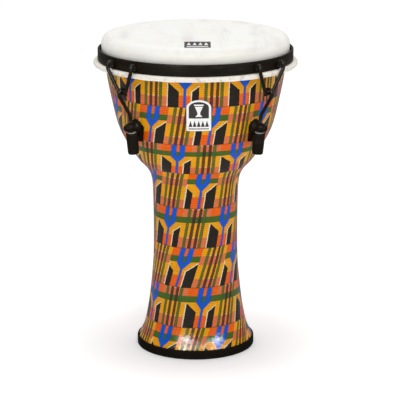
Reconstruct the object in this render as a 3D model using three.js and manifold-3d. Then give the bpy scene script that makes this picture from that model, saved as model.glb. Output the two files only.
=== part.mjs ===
// A goblet-shaped hand drum (djembe) with a steel tension hoop and four tuning lugs.
// Millimetres, +Z up. The origin is the centre of the circle the drum stands on.
import * as THREE from 'three';
import { mergeVertices } from 'three/addons/utils/BufferGeometryUtils.js';
import Module from 'manifold-3d';

const wasm = await Module();
wasm.setup();

// ---- driving dimensions ----
const HEIGHT = 406;               // floor to playing surface
const GAP = 0.3;                  // clearance between two pieces that touch
const ROUND = 48;                 // facets around the drum
const WALL = 5;                   // shell wall
const SKIN = 1.1;                 // drumhead thickness
const FOOT_R = 75.4;              // outer radius of the rubber foot
const FOOT_H = 11.8;
const SKIN_R = 118;               // outer radius of the drumhead's collar
const SHOULDER = 11;              // radius of the rounded playing edge
const COLLAR_BOTTOM = 370;        // lower edge of the drumhead's collar
const HOOP_R = 122.9;             // outer radius of the steel hoop
const HOOP_T = 3;
const HOOP_Z = 373.8;             // lower edge of the steel hoop
const HOOP_H = 14.4;
const HOOP_EDGE = 0.8;            // rounding of the steel hoop's edges
const FLESH = { outset: 0.4, r: 128.2, bottom: 367, edge: 2.8 };
const LUGS = 4;
const FIRST_LUG = Math.PI / 4;    // direction of lug 1, from +X towards +Y
const WIRE_R = 2.25;              // V links and tension rods
const THREAD_TILT = 6 * Math.PI / 180;

// A lug's post, along the radius: flange on the plate, barrel round the rod, rounded nose.
const POST = {
  x: 111.3, z: 302.4, flangeR: 8.2, flangeEnd: 107, barrelStart: 108.6, r: 6, barrelEnd: 116.6,
  noseStart: 118.2, noseR: 4, end: 121.8,
};

// Where a lug's two screws stand, with the radii of their heads' seats and tips.
const SCREWS = [
  { name: 'upper', z: POST.z, head: 91.6, tip: 106.9 },
  { name: 'lower', z: 288, head: 85.4, tip: 99 },
];
const SCREW_R = 2.2;
const SCREW_HEAD = { r: 4.4, topR: 3, rim: 1, h: 2.6 };

const SHELL_BOTTOM = 3;           // lower edge of the shell, inside the foot
const RIM = { inset: 0.4, z: 394.7, r: 9.7, lipR: 103.4, lipBottom: 399 };

// Outer radius and height of the shell, from the top of the foot up to the playing edge.
const SHELL_KEYS = [
  [73.2, 11.5], [66.4, 26], [61.2, 50], [56.7, 85], [54, 120], [54, 190],
  [55.4, 218], [57.9, 228], [62.8, 236], [72, 246], [80.4, 258], [96.6, 288], [106, 325],
  [112.2, 358], [116.3, 392],
];

const FINISH = {
  shell: { color: 0xd98a2b, roughness: 0.25, metalness: 0 },
  rubber: { color: 0x141414, roughness: 0.85, metalness: 0 },
  skin: { color: 0xe9e5db, roughness: 0.6, metalness: 0 },
  paint: { color: 0x2c2621, roughness: 0.45, metalness: 0.3 },
  nylon: { color: 0xf0efea, roughness: 0.5, metalness: 0 },
  steel: { color: 0x9a9a98, roughness: 0.35, metalness: 1 },
  badge: { color: 0xf4f2ee, roughness: 0.3, metalness: 0 },
};

const drum = new THREE.Group();

/** Adds one named piece to a group. */
function piece(parent, name, geometry, finish) {
  const mesh = new THREE.Mesh(geometry, new THREE.MeshStandardMaterial(FINISH[finish]));
  mesh.name = name;
  parent.add(mesh);
  return mesh;
}

// ---- shapes ----

/** Turns a closed or axis-to-axis profile of [radius, height] about Z, anticlockwise in that plane. */
function turned(profile, facets = ROUND) {
  const points = profile.map(([r, z]) => new THREE.Vector2(r, z));
  return new THREE.LatheGeometry(points, facets).rotateX(Math.PI / 2);
}

/** A closed ring profile, going round once. */
const ring = (profile, facets) => turned([...profile, profile[0]], facets);

/** Points of an arc in the [radius, height] plane, angles in degrees. */
function arc(r, z, radius, from, to, steps) {
  return Array.from({ length: steps + 1 }, (_, i) => {
    const angle = THREE.MathUtils.degToRad(from + (to - from) * i / steps);
    return [r + radius * Math.cos(angle), z + radius * Math.sin(angle)];
  });
}

/** A cylinder along Z from one height to another. */
function rod(radius, from, to, facets = 24) {
  const height = to - from;
  return new THREE.CylinderGeometry(radius, radius, height, facets)
    .rotateX(Math.PI / 2).translate(0, 0, from + height / 2);
}

const WIRE_SIDES = 8;

/** A round wire along straight runs; each corner is rounded, starting its `bend` in mm away. */
function wire(corners, bends, steps) {
  const path = new THREE.CurvePath();
  let start = corners[0];
  for (let i = 1; i < corners.length - 1; i++) {
    const [before, corner, after] = corners.slice(i - 1, i + 2);
    const inTo = corner.clone().addScaledVector(before.clone().sub(corner).normalize(), bends[i - 1]);
    const outOf = corner.clone().addScaledVector(after.clone().sub(corner).normalize(), bends[i - 1]);
    path.add(new THREE.LineCurve3(start, inTo));
    path.add(new THREE.QuadraticBezierCurve3(inTo, corner, outOf));
    start = outOf;
  }
  path.add(new THREE.LineCurve3(start, corners.at(-1)));
  const section = new THREE.Shape(Array.from({ length: WIRE_SIDES }, (_, i) => {
    const angle = i * 2 * Math.PI / WIRE_SIDES;
    return new THREE.Vector2(WIRE_R * Math.cos(angle), WIRE_R * Math.sin(angle));
  }));
  return new THREE.ExtrudeGeometry(section, { extrudePath: path, steps, bevelEnabled: false });
}

// ---- booleans ----

/** A closed geometry as a solid that can be cut and joined. */
function solid(geometry) {
  const bare = geometry.clone();
  bare.deleteAttribute('normal');
  bare.deleteAttribute('uv');
  const merged = mergeVertices(bare, 1e-4);
  const index = merged.index.array;
  const triVerts = [];
  for (let i = 0; i < index.length; i += 3) {
    const [a, b, c] = index.slice(i, i + 3);
    if (a !== b && b !== c && c !== a) triVerts.push(a, b, c);
  }
  return new wasm.Manifold(new wasm.Mesh({
    numProp: 3,
    vertProperties: new Float32Array(merged.attributes.position.array),
    triVerts: new Uint32Array(triVerts),
  }));
}

/** A solid's geometry. */
function geometryOf(body) {
  const { vertProperties, triVerts } = body.getMesh();
  const geometry = new THREE.BufferGeometry();
  geometry.setAttribute('position', new THREE.BufferAttribute(vertProperties, 3));
  geometry.setIndex(new THREE.BufferAttribute(triVerts, 1));
  return geometry;
}

// ---- the shell's surface ----

const outline = new THREE.CatmullRomCurve3(
  SHELL_KEYS.map(([r, z]) => new THREE.Vector3(r, 0, z)), false, 'centripetal');

/** The shell's profile from foot to rim, moved outwards by `offset` along its normal. */
function shellProfile(offset) {
  const steps = 2 * (SHELL_KEYS.length - 1);
  return Array.from({ length: steps + 1 }, (_, i) => {
    const t = i / steps;
    const { x, z } = outline.getPoint(t);
    const along = outline.getTangent(t);
    return [x + offset * along.z, z - offset * along.x];
  });
}

const CUT = { from: 60, to: 130 };            // radii between which the wall is cut or drilled

/** A layer between two offsets from the shell, with the outline `shape` seen along the radius. */
function layerOnShell(shape, inner, outer, facing) {
  const skin = ring([...shellProfile(outer), ...shellProfile(inner).reverse()]);
  const depth = CUT.to - CUT.from;
  const block = new THREE.ExtrudeGeometry(shape, { depth, bevelEnabled: false, curveSegments: 6 })
    .applyMatrix4(facing);
  return solid(skin).intersect(solid(block));
}

// Puts a shape's x along the tangent, its y up, and its depth along the lug's radius.
const alongX = new THREE.Matrix4().set(0, 0, 1, CUT.from, 1, 0, 0, 0, 0, 1, 0, 0, 0, 0, 0, 1);
// The same towards the front of the drum, -Y.
const towardsFront = new THREE.Matrix4().makeRotationZ(-Math.PI / 2).multiply(alongX);

/** The clearance hole of a screw at height z, along the radius of the lug at `angle`. */
function screwHole(z, to = CUT.to, angle = 0) {
  const hole = rod(SCREW_R + GAP, CUT.from, to, 12).rotateY(Math.PI / 2).translate(0, 0, z);
  return solid(hole.rotateZ(angle));
}

/** A layer with both screw holes of its lug. */
const drilled = (body) => SCREWS.reduce((left, { z }) => left.subtract(screwHole(z)), body);

// ---- shell, foot and head ----

const lugAngle = (lug) => FIRST_LUG + lug * 2 * Math.PI / LUGS;

function shellBody() {
  const edge = arc(SKIN_R - SHOULDER - RIM.inset, RIM.z, RIM.r, 0, 90, 4);
  const lip = [[RIM.lipR, RIM.z + RIM.r], [RIM.lipR, RIM.lipBottom]];
  const footR = SHELL_KEYS[0][0];
  const foot = [[footR - WALL, SHELL_BOTTOM], [footR, SHELL_BOTTOM]];
  let body = solid(ring([
    ...foot, ...shellProfile(0), ...edge, ...lip, ...shellProfile(-WALL).reverse()]));
  for (let lug = 0; lug < LUGS; lug++) {
    for (const { z } of SCREWS) body = body.subtract(screwHole(z, CUT.to, lugAngle(lug)));
  }
  return geometryOf(body);
}

/** The rubber channel that the shell's lower edge stands in. */
function footRing() {
  const outer = SHELL_KEYS[0][0] + GAP;
  const inner = SHELL_KEYS[0][0] - WALL - GAP;
  const [lip, chamfer, innerTop] = [2, 1, FOOT_H - 4];
  return ring([
    [inner - lip, 0], [FOOT_R - chamfer, 0], [FOOT_R, chamfer], [FOOT_R, FOOT_H - chamfer],
    [FOOT_R - chamfer, FOOT_H - GAP], [outer, FOOT_H - GAP], [outer, SHELL_BOTTOM - GAP],
    [inner, SHELL_BOTTOM - GAP], [inner, innerTop], [inner - lip, innerTop],
  ]);
}

function drumhead() {
  const centreR = SKIN_R - SHOULDER;
  const centreZ = HEIGHT - SHOULDER;
  return turned([
    [0, HEIGHT - SKIN], ...arc(centreR, centreZ, SHOULDER - SKIN, 90, 0, 5),
    [SKIN_R - SKIN, COLLAR_BOTTOM], [SKIN_R, COLLAR_BOTTOM],
    ...arc(centreR, centreZ, SHOULDER, 0, 90, 5), [0, HEIGHT],
  ]);
}

piece(drum, 'shell', shellBody(), 'shell');
piece(drum, 'foot_ring', footRing(), 'rubber');
piece(drum, 'drumhead', drumhead(), 'skin');

// ---- hoops ----

/** A ring of rectangular section with rounded corners. */
function roundedRing(innerR, outerR, bottom, top, corner) {
  const quarter = (r, z, from) => arc(r, z, corner, from, from + 90, 2);
  return ring([
    ...quarter(outerR - corner, bottom + corner, -90), ...quarter(outerR - corner, top - corner, 0),
    ...quarter(innerR + corner, top - corner, 90), ...quarter(innerR + corner, bottom + corner, 180),
  ]);
}

piece(drum, 'flesh_hoop',
  roundedRing(SKIN_R + FLESH.outset, FLESH.r, FLESH.bottom, HOOP_Z - GAP, FLESH.edge), 'skin');
piece(drum, 'tension_hoop',
  roundedRing(HOOP_R - HOOP_T, HOOP_R, HOOP_Z, HOOP_Z + HOOP_H, HOOP_EDGE), 'paint');

// ---- V link, welded to the hoop by its two hooked ends ----

const HOOK_ANGLE = 8.9 * Math.PI / 180;       // from the lug's centre to each hook
const LEG_R = HOOP_R + GAP + WIRE_R;          // hook's leg against the hoop
const ARM_R = 132.4;                          // hook's outer leg
const LEG_END = 377.2;                        // where the leg stops, above the weld
const HOOK_TOP = 384;                         // wire centre at the top of the hook
const ARM_END = 376;                          // where the outer leg bends inwards
const V_BOTTOM = { x: 126, half: 5.6, z: 347 };
const V_BENDS = [4, 4, 2.5, 5.4, 5.4, 2.5, 4, 4];
const BEAD = { size: [1.5, 3, 1.45], out: 1.6, z: 375.4 };

/** A point at a radius and height, `side` hook angles from the lug's centre. */
function aroundHoop(radius, z, side) {
  const angle = side * HOOK_ANGLE;
  return new THREE.Vector3(radius * Math.cos(angle), radius * Math.sin(angle), z);
}

function vLink() {
  const half = (side) => [
    aroundHoop(LEG_R, LEG_END, side), aroundHoop(LEG_R, HOOK_TOP, side),
    aroundHoop(ARM_R, HOOK_TOP, side), aroundHoop(ARM_R, ARM_END, side),
    new THREE.Vector3(V_BOTTOM.x, side * V_BOTTOM.half, V_BOTTOM.z),
  ];
  return wire([...half(1), ...half(-1).reverse()], V_BENDS, 42);
}

/** Bead of weld at the foot of a hook's leg, on the hoop's face. */
function weldBead(side) {
  const bead = new THREE.SphereGeometry(1, 8, 4).scale(...BEAD.size);
  const place = aroundHoop(HOOP_R + GAP + BEAD.out, BEAD.z, side);
  return bead.rotateZ(side * HOOK_ANGLE).translate(place.x, place.y, place.z);
}

// ---- tension rod, from the hook over the V link down through the lug into the nut ----

const HOOK_ARM = WIRE_R * 2 + 0.8;            // centre of the hook's wire from the V link's centre
const HOOK_TIP = 4;                           // how far the hook's tip hangs below the V link
const HOOK_BACK = 2;                          // the same for its outer side
const BEND = { x: 112.8, z: 317 };
const ROD_BENDS = [5.4, 5.4, 3.5, 5];
const ROD_END = -27;                          // along the thread, from the lug's post

/** A point in the rod's plane. */
const inPlane = (x, z) => new THREE.Vector3(x, 0, z);
/** A point on the thread's axis, `s` mm above the post's centre. */
const onThread = (s) => inPlane(POST.x + s * Math.sin(THREAD_TILT), POST.z + s * Math.cos(THREAD_TILT));

function tensionRod() {
  const { x, z } = V_BOTTOM;
  const top = z + HOOK_ARM;
  return wire([
    inPlane(x - HOOK_ARM, z - HOOK_TIP), inPlane(x - HOOK_ARM, top), inPlane(x + HOOK_ARM, top),
    inPlane(x + HOOK_ARM, z - HOOK_BACK), inPlane(BEND.x, BEND.z), onThread(ROD_END),
  ], ROD_BENDS, 34);
}

// Heights along the thread from the post's centre.
const WASHER = { top: -5.5, t: 1.5, r: 5.3, bore: 3.1 };
const NUT = { top: -7.3, bottom: -33.6, topR: 7.65, bottomR: 6.7, bore: 2.9, socketR: 4.4, socketH: 6 };

// ---- lug: casting with its plate and post, gasket, backing plate, screws ----

const PLATE = { half: 8.6, top: 302.5, footHalf: 5.4, foot: 288, t: 2 };

/** The plate's outline grown by `margin`: straight sides, a round top and a smaller round foot. */
function plateShape(margin = 0) {
  const half = PLATE.half + margin;
  const foot = PLATE.footHalf + margin;
  const shape = new THREE.Shape();
  shape.moveTo(half, PLATE.top);
  shape.absarc(0, PLATE.top, half, 0, Math.PI, false);
  shape.lineTo(-foot, PLATE.foot);
  shape.absarc(0, PLATE.foot, foot, Math.PI, 2 * Math.PI, false);
  shape.closePath();
  return shape;
}

const GASKET = { t: 0.8, margin: 0.6 };
const PLATE_IN = GAP * 2 + GASKET.t;          // plate's inner face, above the shell
const BACKING = { t: 1.5, margin: -0.5 };
const ROD_HOLE = WIRE_R + 0.7;
const BLIND_END = 107.2;                      // bottom of the upper screw's hole in the post
const SEAT = { width: 22, h: 8, shift: 3 };   // flat cut under the post for the washer

/** The post as a turned solid lying along the lug's radius. */
function postSolid() {
  const nose = arc(POST.end - 2, 0, 2, 0, 90, 3).map(([x, r]) => [r + POST.noseR - 2, x]);
  const profile = [
    [0, CUT.from], [POST.flangeR, CUT.from], [POST.flangeR, POST.flangeEnd], [POST.r, POST.barrelStart],
    [POST.r, POST.barrelEnd], [POST.noseR, POST.noseStart], ...nose.reverse(), [0, POST.end],
  ];
  return solid(turned(profile, 16).rotateY(Math.PI / 2).translate(0, 0, POST.z));
}

/** A shape made about the thread's axis, as a solid in the lug's frame. */
const atThread = (geometry) => solid(geometry.rotateY(THREAD_TILT).translate(POST.x, 0, POST.z));

function lugCasting() {
  const plate = layerOnShell(plateShape(), PLATE_IN, PLATE_IN + PLATE.t, alongX);
  const behindPlate = solid(turned([[0, 270], ...shellProfile(PLATE_IN + 0.5), [0, 400]]));
  const rodHole = atThread(rod(ROD_HOLE, -20, 20, 12));
  const seat = atThread(new THREE.BoxGeometry(SEAT.width, SEAT.width, SEAT.h)
    .translate(SEAT.shift, 0, WASHER.top + GAP - SEAT.h / 2));
  return geometryOf(plate.add(postSolid().subtract(behindPlate).subtract(seat))
    .subtract(rodHole)
    .subtract(screwHole(SCREWS[0].z, BLIND_END))
    .subtract(screwHole(SCREWS[1].z)));
}

const lugGasket = () => geometryOf(drilled(
  layerOnShell(plateShape(GASKET.margin), GAP, GAP + GASKET.t, alongX)));
const backingPlate = () => geometryOf(drilled(
  layerOnShell(plateShape(BACKING.margin), -WALL - GAP - BACKING.t, -WALL - GAP, alongX)));

function lugScrew({ z, head, tip }) {
  const { r, topR, rim, h } = SCREW_HEAD;
  const shank = solid(rod(SCREW_R, head, tip, 10));
  const cap = turned([[0, -h], [topR, -h], [r, -rim], [r, 0], [0, 0]], 10).translate(0, 0, head);
  const slot = new THREE.BoxGeometry(6, 1, 1.4).translate(0, 0, head - h);
  return geometryOf(solid(cap).add(shank).subtract(solid(slot)))
    .rotateY(Math.PI / 2).translate(0, 0, z);
}

// ---- washer and nut, about the thread's axis ----

const nylonWasher = () => ring([
  [WASHER.bore, WASHER.top - WASHER.t], [WASHER.r, WASHER.top - WASHER.t],
  [WASHER.r, WASHER.top], [WASHER.bore, WASHER.top],
], 18);

/** A tapered nut with a rounded lower edge, a bevelled top edge and a socket for the key. */
function tuningNut() {
  const [round, bevel, cone] = [1.2, 0.6, 1.5];
  return ring([
    [NUT.socketR, NUT.bottom], ...arc(NUT.bottomR - round, NUT.bottom + round, round, -90, 0, 3),
    [NUT.topR, NUT.top - bevel], [NUT.topR - bevel, NUT.top], [NUT.bore, NUT.top],
    [NUT.bore, NUT.bottom + NUT.socketH + cone], [NUT.socketR, NUT.bottom + NUT.socketH],
  ], 18);
}

for (let n = 1; n <= LUGS; n++) {
  const lug = new THREE.Group();
  lug.rotation.z = lugAngle(n - 1);
  drum.add(lug);
  piece(lug, `v_link_${n}`, vLink(), 'paint');
  piece(lug, `weld_bead_${n}a`, weldBead(-1), 'paint');
  piece(lug, `weld_bead_${n}b`, weldBead(1), 'paint');
  piece(lug, `tension_rod_${n}`, tensionRod(), 'paint');
  piece(lug, `lug_casting_${n}`, lugCasting(), 'paint');
  piece(lug, `lug_gasket_${n}`, lugGasket(), 'rubber');
  piece(lug, `backing_plate_${n}`, backingPlate(), 'steel');
  for (const screw of SCREWS) piece(lug, `lug_screw_${n}_${screw.name}`, lugScrew(screw), 'steel');

  const thread = new THREE.Group();
  thread.rotation.y = THREAD_TILT;
  thread.position.set(POST.x, 0, POST.z);
  lug.add(thread);
  piece(thread, `nylon_washer_${n}`, nylonWasher(), 'nylon');
  piece(thread, `tuning_nut_${n}`, tuningNut(), 'paint');
}

// ---- badge on the front of the bowl ----

const BADGE = { x: 4, half: 15, bottom: 303, shoulder: 333, arch: 10, t: 0.5 };

function badgeShape() {
  const shape = new THREE.Shape();
  shape.moveTo(BADGE.x - BADGE.half, BADGE.bottom);
  shape.lineTo(BADGE.x + BADGE.half, BADGE.bottom);
  shape.lineTo(BADGE.x + BADGE.half, BADGE.shoulder);
  shape.absellipse(BADGE.x, BADGE.shoulder, BADGE.half, BADGE.arch, 0, Math.PI, false);
  shape.closePath();
  return shape;
}

piece(drum, 'shell_badge',
  geometryOf(layerOnShell(badgeShape(), GAP, GAP + BADGE.t, towardsFront)), 'badge');

export default drum;
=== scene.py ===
"""Looks for a goblet-shaped hand drum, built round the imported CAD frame."""

import logging
from dataclasses import dataclass, field, replace
from enum import Enum
from math import cos, pi, radians, sin
from typing import Callable, Sequence

import bmesh
import bpy
import numpy as np
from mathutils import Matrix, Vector


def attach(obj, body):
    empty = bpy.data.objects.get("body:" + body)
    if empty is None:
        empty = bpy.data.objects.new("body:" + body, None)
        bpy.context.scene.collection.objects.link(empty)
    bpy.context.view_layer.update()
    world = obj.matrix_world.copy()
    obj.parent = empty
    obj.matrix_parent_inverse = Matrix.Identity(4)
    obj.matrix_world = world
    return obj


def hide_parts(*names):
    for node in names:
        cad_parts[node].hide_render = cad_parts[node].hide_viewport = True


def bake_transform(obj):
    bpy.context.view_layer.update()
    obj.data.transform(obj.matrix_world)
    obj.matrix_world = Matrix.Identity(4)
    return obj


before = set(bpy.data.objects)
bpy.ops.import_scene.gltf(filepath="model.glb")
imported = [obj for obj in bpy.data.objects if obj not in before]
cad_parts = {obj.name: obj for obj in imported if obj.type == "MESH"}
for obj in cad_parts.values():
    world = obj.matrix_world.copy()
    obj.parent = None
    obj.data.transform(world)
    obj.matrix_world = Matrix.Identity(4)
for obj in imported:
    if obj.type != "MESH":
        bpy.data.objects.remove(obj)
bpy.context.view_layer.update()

MM = 0.001
TAU = 2 * pi
LUGS = 4
LOG = logging.getLogger("drum")
Array = np.ndarray
Colour = tuple[float, float, float]
Number = "Field | float"


class Body(str, Enum):
    """Bodies of the frame that have one copy; rods and nuts are numbered."""

    SHELL = "drum_shell"
    HOOP = "hoop"


class Slot(str, Enum):
    """Material slots of the record."""

    PRINT = "shell_print"
    FOOT = "foot_rubber"
    SKIN = "skin"
    PAINT = "black_paint"
    GASKET = "gasket_rubber"
    NYLON = "nylon"
    STEEL = "steel"
    BADGE = "badge"


# ---------------------------------------------------------------------------
# Surfaces. Lengths are millimetres until a mesh is made.
# ---------------------------------------------------------------------------

def unit(vectors: Array) -> Array:
    """Vectors divided by their lengths."""
    return vectors / np.linalg.norm(vectors, axis=-1, keepdims=True)


@dataclass
class Surface:
    """A grid of points, rows by columns, whose last column joins the first.

    Attributes:
        points: array of shape (rows, columns, 3).
        uv: optional array of shape (rows, columns + 1, 2), in millimetres along the surface.
        finish: number of the piece's material that covers it.
        ring: the last row joins the first.
    """

    points: Array
    uv: Array | None = None
    finish: int = 0
    ring: bool = False

    def quads(self) -> tuple[Array, Array]:
        """Corner numbers of each quad, and the same corners as (row, column) before wrapping."""
        rows, columns = self.points.shape[:2]
        steps = np.arange(rows if self.ring else rows - 1)
        row, column = np.meshgrid(steps, np.arange(columns), indexing="ij")
        row = np.stack([row, row, row + 1, row + 1], -1).reshape(-1, 4)
        column = np.stack([column, column + 1, column + 1, column], -1).reshape(-1, 4)
        return (row % rows) * columns + column % columns, np.stack([row, column], -1)

    def mapped(self, place: Array) -> Array:
        """The map at each (row, column), or zeros where there is none."""
        if self.uv is None:
            return np.zeros((*place.shape[:2], 2))
        return self.uv[place[..., 0] % len(self.uv), place[..., 1]]

    def turned(self, axes: Array) -> "Surface":
        """The surface carried into the frame whose three directions are the rows of `axes`."""
        return replace(self, points=self.points @ axes)


@dataclass(frozen=True)
class Axis:
    """A turning axis: its origin, the directions of angle 0 and of a quarter turn, and the axis."""

    origin: tuple[float, float, float]
    zero: tuple[float, float, float]
    quarter: tuple[float, float, float]
    along: tuple[float, float, float]


DRUM_AXIS = Axis((0, 0, 0), (0, -1, 0), (1, 0, 0), (0, 0, 1))   # angle 0 at the front of the drum


def turn(profile: Array, columns: int, axis: Axis = DRUM_AXIS, ring: bool = False, finish: int = 0,
         swell: Array | None = None) -> Surface:
    """Turns a profile about an axis.

    A point is origin + r (cos a zero + sin a quarter) + h along, where r and h come from the
    profile's row and a runs once round. The map on it is (r a, length along the profile).

    Args:
        profile: (rows, 2) of radius and height.
        columns: points round the axis.
        axis: the axis turned about.
        ring: the profile closes on itself.
        finish: number of the material.
        swell: optional (rows, columns) factor on the radius.

    Returns:
        The surface.
    """
    angle = np.linspace(-pi, pi, columns + 1)
    length = np.concatenate([[0], np.cumsum(np.linalg.norm(np.diff(profile, axis=0), axis=1))])
    radius = profile[:, :1] * (1 if swell is None else swell)
    radius = np.broadcast_to(radius, (len(profile), columns))[..., None]
    zero, quarter, along = (np.array(v, float) for v in (axis.zero, axis.quarter, axis.along))
    spoke = np.cos(angle[:-1, None]) * zero + np.sin(angle[:-1, None]) * quarter
    points = np.array(axis.origin, float) + radius * spoke + profile[:, 1, None, None] * along
    uv = np.stack(np.broadcast_arrays(profile[:, :1] * angle, length[:, None]), -1)
    return Surface(points, uv, finish, ring)


def arc(r: float, z: float, radius: float, start: float, end: float, steps: int) -> Array:
    """Points of a circle about (r, z), with angles in degrees: (r + radius cos a, z + radius sin a)."""
    angle = np.radians(np.linspace(start, end, steps + 1))
    return np.stack([r + radius * np.cos(angle), z + radius * np.sin(angle)], -1)


def rounded(corners: Sequence[Sequence[float]], bends: Sequence[float] | float, steps: int = 6,
            closed: bool = False) -> Array:
    """Straight runs whose corners are curves, (1-w)^2 start + 2w(1-w) corner + w^2 end.

    Args:
        corners: points of the run, flat or in space.
        bends: how far before and after each corner its curve starts and ends.
        steps: points along each curve.
        closed: the last corner joins the first; otherwise the two ends stay sharp.

    Returns:
        The points, with none repeated.
    """
    corner = np.asarray(corners, float)
    bend = np.broadcast_to(np.asarray(bends, float), len(corner)).copy()
    if not closed:
        bend[[0, -1]] = 0
    start = corner + unit(np.roll(corner, 1, 0) - corner) * bend[:, None]
    end = corner + unit(np.roll(corner, -1, 0) - corner) * bend[:, None]
    w = np.linspace(0, 1, steps + 1)[None, :, None]
    curve = (1 - w) ** 2 * start[:, None] + 2 * w * (1 - w) * corner[:, None] + w ** 2 * end[:, None]
    path = curve.reshape(-1, corner.shape[1])
    moved = np.linalg.norm(np.diff(path, axis=0), axis=1) > 1e-6
    return path[np.concatenate([[True], moved])]


def sweep(path: Array, radius: Array | float, reference: Sequence[float], columns: int = 20,
          lip: float = 0.4) -> Surface:
    """Carries a circle along a path, square to it, and closes both ends with a small rounded lip.

    A point is the path's + r (cos a across + sin a other), where across is the reference
    direction less its part along the path, and other is at right angles to both.

    Args:
        path: (rows, 3).
        radius: one number, or an array of (rows, 1) or (rows, columns).
        reference: a direction that the path never runs along.
        columns: points round the circle.
        lip: rounding of the ends.

    Returns:
        The surface.
    """
    ahead = unit(np.diff(path, axis=0))
    tangent = unit(np.concatenate([ahead[:1], ahead[:-1] + ahead[1:], ahead[-1:]]))
    radius = np.broadcast_to(np.asarray(radius, float), (len(path), columns))
    first, last = path[:1] + tangent[:1] * lip, path[-1:] - tangent[-1:] * lip
    path = np.concatenate([path[:1], path[:1], first, path[1:-1], last, path[-1:], path[-1:]])
    tangent = np.concatenate([tangent[[0, 0]], tangent, tangent[[-1, -1]]])
    radius = np.concatenate([radius[:1] * 0, radius[:1] - lip, radius, radius[-1:] - lip, radius[-1:] * 0])
    reference = np.asarray(reference, float)
    across = unit(reference - (tangent @ reference)[:, None] * tangent)
    other = np.cross(tangent, across)
    angle = np.linspace(0, TAU, columns, endpoint=False)[None, :, None]
    spoke = np.cos(angle) * across[:, None] + np.sin(angle) * other[:, None]
    return Surface(path[:, None] + radius[..., None] * spoke)


def spline(keys: Sequence[Sequence[float]], steps: int) -> tuple[Array, Array]:
    """A smooth curve through key points, with centripetal spacing.

    Between two keys p1 and p2 it is the cubic p1 + m1 w + (3(p2-p1) - 2 m1 - m2) w^2 +
    (2(p1-p2) + m1 + m2) w^3, whose end slopes m weigh each neighbour by the root of its distance.

    Args:
        keys: the key points.
        steps: pieces between two keys.

    Returns:
        The points, and the unit tangents.
    """
    key = np.asarray(keys, float)
    key = np.concatenate([2 * key[:1] - key[1:2], key, 2 * key[-1:] - key[-2:-1]])
    p0, p1, p2, p3 = key[:-3], key[1:-2], key[2:-1], key[3:]
    gaps = (p1 - p0, p2 - p1, p3 - p2)
    d0, d1, d2 = (np.linalg.norm(gap, axis=1, keepdims=True) ** 0.5 for gap in gaps)
    m1 = ((p1 - p0) / d0 - (p2 - p0) / (d0 + d1) + (p2 - p1) / d1) * d1
    m2 = ((p2 - p1) / d1 - (p3 - p1) / (d1 + d2) + (p3 - p2) / d2) * d1
    c2, c3 = 3 * (p2 - p1) - 2 * m1 - m2, 2 * (p1 - p2) + m1 + m2
    w = np.linspace(0, 1, steps, endpoint=False)[None, :, None]
    a, b, c, d = (v[:, None] for v in (p1, m1, c2, c3))
    points = (a + b * w + c * w ** 2 + d * w ** 3).reshape(-1, 2)
    slopes = (b + 2 * c * w + 3 * d * w ** 2).reshape(-1, 2)
    last = m1[-1] + 2 * c2[-1] + 3 * c3[-1]
    return np.concatenate([points, p2[-1:]]), unit(np.concatenate([slopes, last[None]]))


def ripple(angle: Array, seed: int, waves: Sequence[int]) -> Array:
    """A closed uneven wave between about -1 and 1: a sum of whole-number waves with seeded phases."""
    rng = np.random.default_rng(seed)
    phase, size = rng.uniform(0, TAU, len(waves)), rng.uniform(0.4, 1, len(waves))
    wave = np.sin(angle[..., None] * np.array(waves) + phase) * size
    return wave.sum(-1) / size.sum()


# ---------------------------------------------------------------------------
# Pieces
# ---------------------------------------------------------------------------

@dataclass(frozen=True)
class Label:
    """What a piece is, and what it moves with.

    Attributes:
        name: the piece's name.
        slot: the record's material slot; not used.
        body: the body it rides on, or None for a piece that is attached to no body.
        stands_for: CAD nodes it takes the place of.
    """

    name: str
    slot: Slot
    body: str | None
    stands_for: tuple[str, ...] = ()


def make_piece(label: Label, surfaces: Sequence[Surface], finishes: Sequence[bpy.types.Material],
               crease: float = 40) -> bpy.types.Object:
    """Makes one closed mesh of several surfaces, welded where they meet.

    Args:
        label: name, slot, body and the nodes it stands for.
        surfaces: its surfaces, which share their edge points.
        finishes: its materials.
        crease: the angle in degrees past which an edge is sharp.

    Returns:
        The object, at the origin.
    """
    base = np.cumsum([0] + [s.points.shape[0] * s.points.shape[1] for s in surfaces])
    found = [s.quads() for s in surfaces]
    points = np.concatenate([s.points.reshape(-1, 3) for s in surfaces]) * MM
    quads = np.concatenate([q + b for (q, _), b in zip(found, base)])
    mesh = bpy.data.meshes.new(label.name)
    mesh.from_pydata(points, [], quads.tolist())
    finish = np.concatenate([np.full(len(q), s.finish) for (q, _), s in zip(found, surfaces)])
    mesh.polygons.foreach_set("material_index", finish.astype(np.int32))
    if any(s.uv is not None for s in surfaces):
        maps = [s.mapped(place) for (_, place), s in zip(found, surfaces)]
        layer = mesh.uv_layers.new(name="lay")
        layer.data.foreach_set("uv", (np.concatenate(maps) * MM).ravel())
    for material in finishes:
        mesh.materials.append(material)
    weld(mesh)
    mesh.set_sharp_from_angle(angle=radians(crease))
    thing = bpy.data.objects.new(label.name, mesh)
    bpy.context.scene.collection.objects.link(thing)
    if label.stands_for:
        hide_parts(*label.stands_for)
    if label.body:
        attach(thing, label.body)
    LOG.info("%s: %d faces", label.name, len(mesh.polygons))
    return thing


def weld(mesh: bpy.types.Mesh) -> None:
    """Merges points that coincide, so poles and seams close, and turns all faces outwards."""
    work = bmesh.new()
    work.from_mesh(mesh)
    bmesh.ops.remove_doubles(work, verts=work.verts, dist=2e-6)
    bmesh.ops.recalc_face_normals(work, faces=work.faces)
    for face in work.faces:
        face.smooth = True
    work.to_mesh(mesh)
    work.free()


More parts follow.
